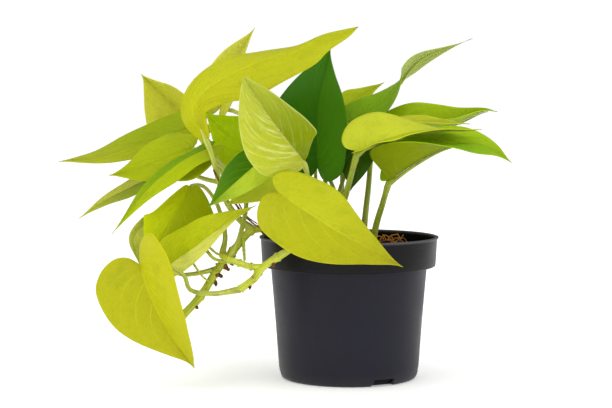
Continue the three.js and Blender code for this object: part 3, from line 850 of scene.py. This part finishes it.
def stalk_skin(name, dark, pale):
    """Stalks are green, with long pale streaks and a fine grain."""
    material, tree, shader, coordinates = new_finish(name, 0.42, 0.45)
    uv = tree.nodes.new("ShaderNodeUVMap")
    uv.uv_map = "UVMap"
    streak = add_noise(tree, add_stretch(tree, uv.outputs[0], (16, 3, 1)), 1, 3, 0.6)
    cloud = add_noise(tree, coordinates["Object"], 120, 3)
    grain = add_noise(tree, coordinates["Object"], 1500, 2)
    colour = add_mix(tree, add_ramp(tree, streak, 0.35, 0.7), srgb(*dark), srgb(*pale))
    colour = add_mix(tree, add_ramp(tree, cloud, 0.55, 0.75, 0, 0.5), colour, srgb(120, 104, 36))
    colour = add_mix(tree, add_ramp(tree, grain, 0.62, 0.72, 0, 0.3), colour, srgb(88, 84, 20))
    wire(tree, colour, shader.inputs["Base Color"])
    wire(tree, add_ramp(tree, cloud, 0.3, 0.7, 0.36, 0.5), shader.inputs["Roughness"])
    add_bump(tree, shader, plus(tree, streak, times(tree, grain, 0.4)), 0.0002, 0.6)
    shader.inputs["Subsurface Weight"].default_value = 0.12
    shader.inputs["Subsurface Scale"].default_value = 0.0012
    return material


STALK_FINISHES = {
    "pale": stalk_skin("pale stalk", (166, 178, 40), (212, 216, 108)),
    "green": stalk_skin("green stalk", (128, 148, 8), (180, 192, 62)),
}
print("stalk finishes", *STALK_FINISHES)

# %% [markdown]
# ## Growing a leaf
#
# One function grows a whole leaf: the blade as a grid bent by the rule, given thickness with a solidify
# modifier, and the stalk as a tube that starts in the soil or on a stem. At the blade the tube bends in
# under it and thins out to the tip, because the rib stands proud on the underside of every leaf. Blade
# and stalk are joined to one piece.


# %% The leaf maker
STURDY = {"right_front": 1.45, "right_long": 1.35, "right_lime": 1.45, "top_arch": 1.3, "bright_fold": 1.2}
STALK_STEPS, RIB_STEPS, RIB_REACH = 29, 22, 0.92  # the rib stands proud over this share of the blade
BLADE_THICKNESS = 0.5


def stalk_places(leaf, girth):
    """Places and radii of the stalk and of the rib under the blade."""
    stalk, rib = Line([*leaf["stalk"], leaf["rib"][0]]), Line(leaf["rib"])
    places, radii = [stalk.at(0)], [0]
    for k in range(STALK_STEPS):
        share = k / STALK_STEPS
        places.append(stalk.at(share))
        swell = 0.35 * math.exp(-(((share - 0.95) / 0.06) ** 2)) + 0.5 * math.exp(-((share / 0.12) ** 2))
        radii.append((1.75 - 0.55 * share + swell) * girth)
    for k in range(1, RIB_STEPS + 1):
        share = 0.02 + (RIB_REACH - 0.02) * (k / RIB_STEPS)
        place, _, up = blade_frame(leaf, rib, share)
        radius = 1.15 * (1 - share) ** 0.8 + 0.12
        places.append(place - up * (radius + 0.4))
        radii.append(radius)
    places.append(places[-1] + rib.along(RIB_REACH + 0.01) * 0.3)
    radii.append(0)
    return places, radii


def grow_leaf(name, leaf, look):
    blade = grown("blade", BLADE_COLUMNS, BLADE_ROWS, blade_rule(leaf))
    blade.data.materials.append(leaf_skin(name + " upper", look, False))
    blade.data.materials.append(leaf_skin(name + " under", look, True))
    apply_modifier(blade, "SOLIDIFY", thickness=BLADE_THICKNESS * MM, offset=0, material_offset=1)
    stalk = grow_tube("stalk", *stalk_places(leaf, STURDY.get(name, 1)), 12)
    stalk.data.materials.append(STALK_FINISHES[look.get("stalk", "pale")])
    piece = joined(name + "_leaf", [blade, stalk])
    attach(piece, "root")
    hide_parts("leaf_" + name)
    return piece


def skin(left, right, tip, streaks=0.1, **more):
    """How one leaf looks: the colours of its halves and its tip, and how strongly it is streaked."""
    return dict(colours=(left, right, tip), streaks=streaks, **more)


def grow_leaves(leaves, skins):
    for number, (name, leaf) in enumerate(leaves.items()):
        skins[name]["seed"] = 3.7 * number + len(name)
        piece = grow_leaf(name, leaf, skins[name])
    print(len(leaves), "leaves, the last with", len(piece.data.polygons), "faces")


print("leaf maker ready")

# %% [markdown]
# ## The crown
#
# The largest blades stand over the middle of the pot. A bright folded leaf with pale streaks leans to the
# left, a dark one stands straight behind it, and a lime one arches over both from a long stalk on the
# left. In front hangs a clean heart, and four small leaves fill the gaps. Each record gives the rib, the
# side that the blade faces, its half widths and its folds, and a second list gives each leaf its colours.

# %% The crown
front_crown = {
    "front_heart": dict(
        color="lime", rib=[(-46, -68, 128), (-11, -82, 106), (12, -84, 93), (32, -80, 82)],
        face=(0.1, -0.85, 0.5), half=(24, 29), lobe=(1, 0.8), fold=(-2, -8), sweep=(0.03, 0.06),
        stalk=[(-22, -26, 70), (-24, -32, 98), (-37, -52, 117)],
    ),
    "bright_fold": dict(
        color="lime", rib=[(-30, -46, 147), (-42, -54, 162), (-55, -60, 180), (-68, -62, 201)],
        face=(-0.1, -0.9, 0.2), half=(29, 22), lobe=(1, 0.2), fold=(18, 35), sweep=(0.22, 0.2),
        taper=(0.62, 0.62), stalk=[(-24, -16, 70), (-25, -20, 108), (-27, -36, 133)],
    ),
    "dark_upright": dict(
        color="dark", rib=[(-21, 5, 140), (-20, 14, 181), (-12, 30, 221)], face=(-0.45, -0.9, 0.1),
        half=(37, 30), taper=(0.8, 1), fold=(14, 22), stalk=[(-6, 6, 70), (-6, 6, 108), (-12, 5, 131)],
    ),
    "top_arch": dict(
        color="lime",
        rib=[
            (-94, -30, 161), (-102, -31, 178), (-94, -30, 192), (-72, -28, 205), (-36, -28, 219),
            (-18, -30, 228), (5, -36, 233),
        ],
        face=(-0.9, -0.4, 0.2), face_tip=(0.1, -0.25, 0.95), half=(31, 26), fold=(22, -24),
        fold_tip=(-32, -35), sweep=(0.42, 0.42), taper=(0.7, 0.35),
        stalk=[(-64, -13, 100), (-74, -18, 109), (-83, -22, 124), (-90, -28, 150)],
    ),
    "dark_small": dict(
        color="dark", rib=[(-59, -34, 146), (-74, -42, 133), (-92, -48, 117)], face=(-0.1, -0.8, 0.5),
        half=(14, 14), fold=(4, 4), stalk=[(-18, -12, 70), (-19, -14, 98), (-42, -26, 130)],
    ),
    "under_small": dict(
        color="green", rib=[(-47, -15, 137), (-64, -22, 127), (-81, -26, 117)], face=(0, -0.8, 0.5),
        half=(14, 14), fold=(4, 4), stalk=[(-12, -2, 70), (-16, -4, 96), (-32, -10, 124)],
    ),
    "inner_green": dict(
        color="green", rib=[(-65, 8, 146), (-80, 6, 161), (-97, 6, 178)], face=(0, -0.9, 0.2), half=(16, 22),
        fold=(4, 4), stalk=[(-28, 22, 70), (-36, 24, 105), (-58, 18, 134)],
    ),
    "right_hanging": dict(
        color="dark", rib=[(5, 0, 155), (3, -3, 141), (1, -6, 125)], face=(0.2, -0.9, 0.2), half=(12, 12),
        fold=(6, 6), stalk=[(-10, 14, 70), (-10, 13, 104), (-5, 11, 128)],
    ),
}
front_crown_skins = {
    "front_heart": skin((206, 210, 34), (196, 198, 24), (188, 182, 28), 0.14, veins=0.25),
    # bright_fold's right half is painted darker, a painted shade on the half that turns away from the light.
    "bright_fold": skin((206, 215, 52), (150, 168, 6), (204, 213, 66), 0.62, streak=(236, 238, 156)),
    "dark_upright": skin((54, 116, 4), (78, 140, 6), (66, 128, 6), stalk="green"),
    "top_arch": skin((206, 210, 22), (204, 206, 20), (198, 204, 24), 0.12, under=(196, 198, 60)),
    "dark_small": skin((212, 234, 56), (74, 132, 2), (112, 162, 10)),
    "under_small": skin((236, 248, 60), (236, 248, 60), (226, 238, 52)),
    "inner_green": skin((204, 232, 4), (198, 232, 4), (200, 232, 4), 0.12),
    "right_hanging": skin((70, 112, 14), (66, 106, 12), (68, 108, 14), stalk="green"),
}
grow_leaves(front_crown, front_crown_skins)

# %% [markdown]
# ## The left side
#
# Six blades fan out to the left, most of them seen flat on. Two point up and the others droop. Their
# stalks are short, because each leaf on a trailing stem turns itself to the light on its own; only the
# tallest grows from the soil.

# %% The leaves on the left
left_side = {
    "back_point": dict(
        color="lime", rib=[(-88, 38, 180), (-77, 44, 212), (-64, 47, 236)], face=(0.2, -0.9, 0.1),
        half=(18, 9), fold=(10, 50), stalk=[(-38, 28, 70), (-42, 32, 120), (-56, 34, 158), (-74, 35, 176)],
    ),
    "left_upper": dict(
        color="lime", rib=[(-108, 55, 167), (-124, 59, 184), (-145, 64, 204)], face=(-0.2, -0.9, 0.2),
        half=(27, 22), fold=(10, 55), stalk=[(-83, 17, 133), (-96, 40, 150)],
    ),
    "left_long": dict(
        color="green", rib=[(-104, 21, 168), (-134, 18, 158), (-167, 8, 148), (-193, -6, 145)],
        face=(0, -0.7, 0.7), half=(14, 18), fold=(0, 0), fold_tip=(0, -25), taper=(0.9, 0.8),
        stalk=[(-77, 13, 130), (-90, 18, 152)],
    ),
    "left_middle": dict(
        color="green", rib=[(-104, -4, 154), (-122, -14, 147), (-141, -24, 140), (-157, -32, 137)],
        face=(0, -0.7, 0.7), half=(24, 19), fold=(0, 0), stalk=[(-68, 10, 127), (-86, 9, 142)],
    ),
    "left_low": dict(
        color="green", rib=[(-120, 18, 140), (-143, 15, 129), (-166, 12, 117), (-182, 8, 106)],
        face=(0, -0.6, 0.7), half=(24, 12), fold=(30, -15),
        stalk=[(-81, 12, 129), (-98, 10, 133), (-110, 14, 138)],
    ),
    "left_hanging": dict(
        color="green", rib=[(-94, -15, 154), (-111, -31, 145), (-131, -47, 128), (-152, -58, 101)],
        face=(0, -0.5, 0.8), half=(11, 9), fold=(-8, -15),
        stalk=[(-78, -42, 83), (-71, -31, 100), (-70, -6, 126)],
    ),
}
left_side_skins = {
    "back_point": skin((226, 228, 76), (222, 224, 70), (226, 226, 80)),
    "left_upper": skin((212, 214, 56), (206, 209, 50), (208, 210, 54), 0.12),
    "left_long": skin((172, 186, 8), (160, 180, 4), (204, 206, 58), 0.2),
    "left_middle": skin((180, 196, 6), (184, 200, 16), (184, 196, 10), 0.25),
    "left_low": skin((140, 158, 10), (226, 230, 88), (214, 218, 76), 0.3),
    # left_hanging's right half is painted dark green, a painted shadow cast by the leaf above it.
    "left_hanging": skin((188, 206, 10), (132, 174, 8), (182, 202, 14)),
}
grow_leaves(left_side, left_side_skins)

# %% [markdown]
# ## The low leaves
#
# Below the rim hang the leaves of the longer stems. One is a large heart whose left half folds up, and
# one is seen in the shade behind it, so its green is deeper. A narrow one shows behind both, almost edge
# on.

# %% The low leaves
low_side = {
    "low_shaded": dict(
        color="green", rib=[(-106, -10, 129), (-115, -16, 112), (-125, -22, 90), (-130, -26, 63)],
        face=(0.1, -1, 0.2), half=(34, 17), fold=(-22, -10), fold_tip=(0, 0), sweep=(0.2, 0.45),
        stalk=[(-83, -38, 86), (-82, -20, 98), (-88, -2, 116), (-97, 0, 128)],
    ),
    "left_strip": dict(
        color="green", rib=[(-134, -8, 106), (-143, -10, 94), (-139, -12, 76)], face=(0, -0.9, 0.3),
        half=(10, 4), fold=(6, 6), stalk=[(-109, -41, 47), (-122, -22, 62), (-130, -8, 86)],
    ),
    "low_heart": dict(
        color="lime", rib=[(-135, -52, 81), (-127, -58, 60), (-114, -60, 35), (-100, -58, 15)],
        face=(-0.2, -0.9, 0.2), half=(31, 33), fold=(40, 4), fold_tip=(46, 4), sweep=(-0.1, 0),
        taper=(0.65, 1.15),
        stalk=[(-71, -53, 65), (-88, -50, 62), (-103, -47, 64), (-108, -46, 74), (-123, -47, 81)],
    ),
    "low_pale": dict(
        color="lime", rib=[(-118, -34, 79), (-102, -40, 90), (-81, -44, 106), (-60, -46, 119)],
        face=(-0.3, -0.8, 0.3), half=(17, 10), fold=(8, 8), sweep=(0, -0.05), taper=(1, 1.8),
        stalk=[(-86, -29, 76), (-101, -33, 73), (-111, -34, 73)],
    ),
}
low_side_skins = {
    "low_shaded": skin((196, 210, 4), (220, 232, 6), (206, 220, 6)),
    "left_strip": skin((206, 212, 80), (206, 212, 80), (200, 208, 70), 0.2),
    "low_heart": skin((208, 208, 26), (198, 198, 28), (204, 202, 30), 0.16, veins=0.3),
    "low_pale": skin((206, 216, 16), (246, 248, 110), (206, 212, 40), 0.35),
}
grow_leaves(low_side, low_side_skins)

# %% [markdown]
# ## The right side and the back
#
# On the right the blades are rolled: one is folded up like a trough, so that we see its underside, and
# another is twisted half round. The three leaves at the back can't be seen in the photograph and are
# plain hearts.

# %% The leaves on the right and at the back
right_side = {
    "right_lime": dict(
        color="lime", rib=[(5, -30, 153), (23, -32, 160), (48, -32, 166), (85, -34, 167)],
        face=(-0.1, -0.85, 0.5), face_tip=(0, -0.15, 1), half=(25, 18), fold=(6, 60), fold_tip=(-35, 10),
        sweep=(0.04, 0.18), stalk=[(-8, -10, 70), (-7, -12, 103), (-1, -24, 130)],
    ),
    "right_long": dict(
        color="green", rib=[(16, 26, 154), (44, 27, 161), (74, 26, 170), (92, 22, 178), (101, 18, 178)],
        face=(0, -0.2, 1), half=(24, 26), fold=(45, 40), fold_tip=(90, 25),
        stalk=[(10, 16, 70), (11, 18, 100), (14, 22, 128)],
    ),
    "right_small": dict(
        color="lime", rib=[(7, -9, 164), (41, -5, 172), (80, -6, 170)], face=(0, -0.4, 0.9), half=(10, 11),
        fold=(6, 6), stalk=[(-6, -4, 70), (-7, -8, 103), (-1, -14, 130)],
    ),
    "right_twist": dict(
        color="green",
        rib=[(1, 28, 171), (21, 34, 183), (35, 39, 197), (42, 41, 206), (55, 42, 216), (86, 40, 228)],
        face=(-0.3, -0.7, 0.7), face_tip=(0.1, 0.95, 0.1), half=(14, 15), fold=(6, 6), taper=(1.3, 1.8),
        stalk=[(-2, 18, 70), (-3, 19, 97), (-4, 24, 145)],
    ),
    "right_back": dict(
        color="lime", rib=[(-9, 50, 177), (9, 54, 188), (26, 56, 198)], face=(0, -0.5, 0.8), half=(12, 12),
        fold=(6, 6), stalk=[(-10, 32, 70), (-11, 33, 97), (-17, 42, 150)],
    ),
    "right_front": dict(
        color="green",
        rib=[(26, -20, 133), (41, -24, 144), (59, -27, 154), (76, -30, 158), (92, -33, 155), (105, -34, 145)],
        face=(-0.3, 0.1, 1), face_tip=(0, -0.5, 0.85), half=(22, 27), fold=(60, 70), fold_tip=(10, -40),
        sweep=(0.15, 0), lobe=(1, 0), stalk=[(15, -6, 70), (17, -8, 98), (22, -15, 118)],
    ),
    "back_upright": dict(
        color="green", rib=[(-22, 48, 150), (-20, 62, 168), (-24, 72, 188)], face=(0, 0.8, 0.5),
        half=(14, 14), fold=(8, 8), stalk=[(-20, 36, 70), (-21, 40, 108), (-22, 44, 130)],
    ),
    "back_lean": dict(
        color="lime", rib=[(-50, 50, 150), (-60, 62, 172), (-61, 66, 195)], face=(-0.1, 0.9, 0.3),
        half=(14, 14), fold=(10, 14), stalk=[(-28, 34, 70), (-30, 40, 108), (-40, 44, 132)],
    ),
    "back_hanging": dict(
        color="dark", rib=[(-14, 52, 108), (-16, 70, 104), (-18, 80, 88), (-18, 84, 60)], face=(0, 0.3, 0.9),
        face_tip=(0, 0.9, 0.2), half=(17, 17), fold=(10, 10), stalk=[(-10, 38, 70), (-10, 40, 96)],
    ),
}
right_side_skins = {
    # right_lime's left half is painted paler, a painted sheen.
    "right_lime": skin((220, 229, 54), (194, 206, 16), (182, 198, 12), 0.16, stalk="green"),
    "right_long": skin((176, 206, 10), (170, 200, 10), (176, 202, 30), 0.2, stalk="green"),
    "right_small": skin((206, 214, 46), (200, 210, 40), (200, 208, 44), 0.12, stalk="green"),
    "right_twist": skin(
        (134, 178, 12), (130, 174, 10), (200, 212, 120), under=(168, 182, 96), stalk="green",
    ),
    "right_back": skin((184, 202, 14), (180, 198, 12), (186, 200, 30), stalk="green"),
    "right_front": skin(
        (170, 208, 4), (124, 180, 4), (168, 200, 36), 0.12, under=(132, 148, 8), stalk="green",
    ),
    "back_upright": skin((140, 160, 22), (134, 154, 20), (136, 156, 22), 0.15, stalk="green"),
    "back_lean": skin((190, 196, 52), (184, 190, 46), (186, 192, 48), 0.2),
    "back_hanging": skin((60, 104, 12), (56, 98, 10), (58, 100, 12), stalk="green"),
}
grow_leaves(right_side, right_side_skins)

# %% [markdown]
# ## The trailing stems
#
# Three stems come up through the soil and trail over the rim on the left. A pothos stem is round and
# about 5 mm thick, with a swollen joint wherever a leaf or a root grew. Stubs of air roots stand at some
# joints. A stem is a tube along its line whose radius swells at every joint; the stubs are shorter, blunt
# and darker tubes.

# %% The stems
JOINT_SWELLING, STEPS_PER_JOINT = 0.7, 22
STUB_STEPS, STUB_LENGTH, STUB_BEND = 12, 4.6, 1.3  # length and bend of a stub whose size is 1
stems = {
    "vine_main": dict(
        branches=[(2.7, [
            (-30, 0, 70), (-38, -2, 94), (-51, -7, 99), (-64, -13, 100), (-75, -22, 89), (-86, -29, 76),
            (-97, -36, 59), (-110, -42, 45),
        ])],
        roots=[
            ((-53, -8, 99), (0.3, -0.4, -1), 1.0), ((-80, -25, 83), (0.6, -0.3, -1), 1.5),
            ((-84, -28, 78), (-1, 0, 0.2), 0.9), ((-91, -32, 68), (1, -0.4, -0.7), 1.1),
            ((-100, -38, 55), (0.5, -0.5, -0.8), 1.0), ((-97, -36, 59), (-0.6, -0.6, 0.3), 0.8),
            ((-88, -31, 72), (1, -0.4, -0.5), 1.2), ((-90, -32, 69), (0.5, -0.2, -1), 1.1),
            ((-83, -28, 79), (0.9, -0.5, -0.7), 1.3), ((-79, -25, 84), (1, -0.4, 0.1), 1.0),
            ((-57, -10, 99), (0.5, -0.6, -0.6), 1.6),
        ],
    ),
    "vine_low": dict(
        branches=[
            (2.5, [
                (-10, -34, 70), (-15, -41, 92), (-27, -54, 99), (-40, -62, 91), (-56, -59, 80),
                (-62, -54, 72), (-71, -53, 65),
            ]),
            (2.2, [(-56, -59, 80), (-65, -54, 80), (-72, -50, 82), (-80, -42, 84), (-83, -38, 86)]),
        ],
        roots=[((-50, -60, 84), (0.3, -0.5, -1), 1.0), ((-66, -54, 69), (0.2, -0.4, -1), 0.9)],
    ),
    "vine_upper": dict(
        branches=[(2.4, [(-24, 10, 70), (-30, 11, 96), (-48, 12, 114), (-70, 12, 128), (-84, 14, 132)])],
        roots=[((-60, 12, 122), (0, -0.3, -1), 0.9)],
    ),
}


def stem_tube(radius, points):
    line, joints = Line(points), len(points) - 1
    count = STEPS_PER_JOINT * joints
    places, radii = [line.at(0)], [0]
    for k in range(count + 1):
        share = k / count
        joint = max(0, math.cos(2 * math.pi * joints * share)) ** 14
        between = 0.12 * math.sin(math.pi * joints * share) ** 2
        places.append(line.at(share))
        radii.append(radius - between + JOINT_SWELLING * joint * (0.5 if share < 0.04 else 1))
    places.append(line.at(1) + line.along(1) * 0.8)
    radii[-1] *= 0.8
    return grow_tube("stem", places, radii + [0], 20)


def root_stub(foot, way, size, draw):
    """A knobbly stub, thick at its foot and blunt at its end."""
    foot, way = np.array(foot, float), unit(way)
    bend = unit(np.cross(way, (draw.uniform(-1, 1), draw.uniform(-1, 1), draw.uniform(-1, 1))))
    places, radii = [foot], [0]
    for k in range(STUB_STEPS + 1):
        share = k / STUB_STEPS
        aside = STUB_BEND * size * math.sin(2.6 * share)
        places.append(foot + way * STUB_LENGTH * size * share + bend * aside)
        knobs = 0.22 * math.sin(9 * share + foot[0])
        radii.append(size * (1.5 - 0.5 * share + knobs) * math.sqrt(1 - share**6))
    places.append(places[-1] + way * 0.2)
    radii[-1] = 0.25
    return grow_tube("stub", places, radii + [0], 12)


bark = stalk_skin("trailing stem", (176, 188, 16), (214, 218, 84))
tree = bark.node_tree
base = tree.nodes["Principled BSDF"].inputs["Base Color"]
place = tree.nodes["Texture Coordinate"].outputs["Object"]
scar = add_noise(tree, add_stretch(tree, place, (90, 90, 260)), 1, 3)
plain = base.links[0].from_socket
wire(tree, add_mix(tree, add_ramp(tree, scar, 0.60, 0.72, 0, 0.7), plain, srgb(132, 92, 34)), base)
stub_finish, tree, shader, coordinates = new_finish("air root", 0.75, 0.3)
rough = add_noise(tree, coordinates["Object"], 700, 4)
colour = add_mix(tree, add_ramp(tree, rough, 0.35, 0.7), srgb(64, 40, 18), srgb(150, 98, 38))
wire(tree, colour, shader.inputs["Base Color"])
add_bump(tree, shader, rough, 0.0004, 0.9)
draw = random.Random(5)
for name, stem in stems.items():
    pieces = [stem_tube(*branch) for branch in stem["branches"]]
    for piece in pieces:
        piece.data.materials.append(bark)
    for foot, way, size in stem["roots"]:
        stub = root_stub(foot, way, size, draw)
        stub.data.materials.append(stub_finish)
        pieces.append(stub)
    piece = joined(name + "_stem", pieces)
    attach(piece, "root")
    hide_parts(name)
    print(name, "faces", len(piece.data.polygons))

# %% [markdown]
# ## Thin air roots and dry sheaths
#
# Between the stems hang thin roots that never found soil, and where a young leaf has come out, its dry
# brown sheath still clings to the stalk. Both are thin tubes along a few points, thinning toward the end.

# %% The air roots and sheaths
THIN_ROOTS = [  # girth at the foot, and the points from there
    (1.4, [(-96, -34, 92), (-92, -36, 87), (-88, -36, 83), (-79, -33, 80)]),
    (1.0, [(-95, -33, 94), (-90, -34, 89), (-86, -34, 86), (-78, -31, 83)]),
    (0.9, [(-103, -36, 82), (-99, -38, 76), (-95, -38, 71), (-90, -35, 67)]),
    (1.4, [(-70, -22, 96), (-69.5, -23, 88), (-69, -24, 80)]),
]
SHEATHS = [
    (0.8, [(-76, -17, 119), (-71, -18, 112), (-64, -17, 105), (-58, -14, 101)]),
    (0.6, [(-73, -19, 118), (-68, -20, 110), (-60, -18, 104)]),
    (0.7, [(-89, -30, 141), (-86, -27, 134), (-83, -25, 127)]),
    (0.6, [(-25, -37, 136), (-26, -33, 130), (-25, -29, 124)]),
]


def thin_strand(girth, points, steps=20):
    line = Line(points)
    places = [line.at(k / steps) for k in range(steps + 1)]
    radii = [girth * (1 - 0.4 * k / steps + 0.08 * math.sin(1.9 * k)) for k in range(steps + 1)]
    return grow_tube("strand", places, radii, 8)


sheath_finish, tree, shader, coordinates = new_finish("dry sheath", 0.8, 0.3)
fibre = add_noise(tree, add_stretch(tree, coordinates["Object"], (900, 900, 160)), 1, 4)
colour = add_mix(tree, add_ramp(tree, fibre, 0.35, 0.65), srgb(84, 50, 20), srgb(158, 108, 48))
wire(tree, colour, shader.inputs["Base Color"])
add_bump(tree, shader, fibre, 0.0003, 0.9)
pieces = []
for strands, finish in ((THIN_ROOTS, bark), (SHEATHS, sheath_finish)):
    for girth, points in strands:
        strand = thin_strand(girth, points)
        strand.data.materials.append(finish)
        pieces.append(strand)
piece = joined("air_roots", pieces)
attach(piece, "root")
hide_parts("vine_main")
print("air roots and sheaths", len(THIN_ROOTS) + len(SHEATHS))
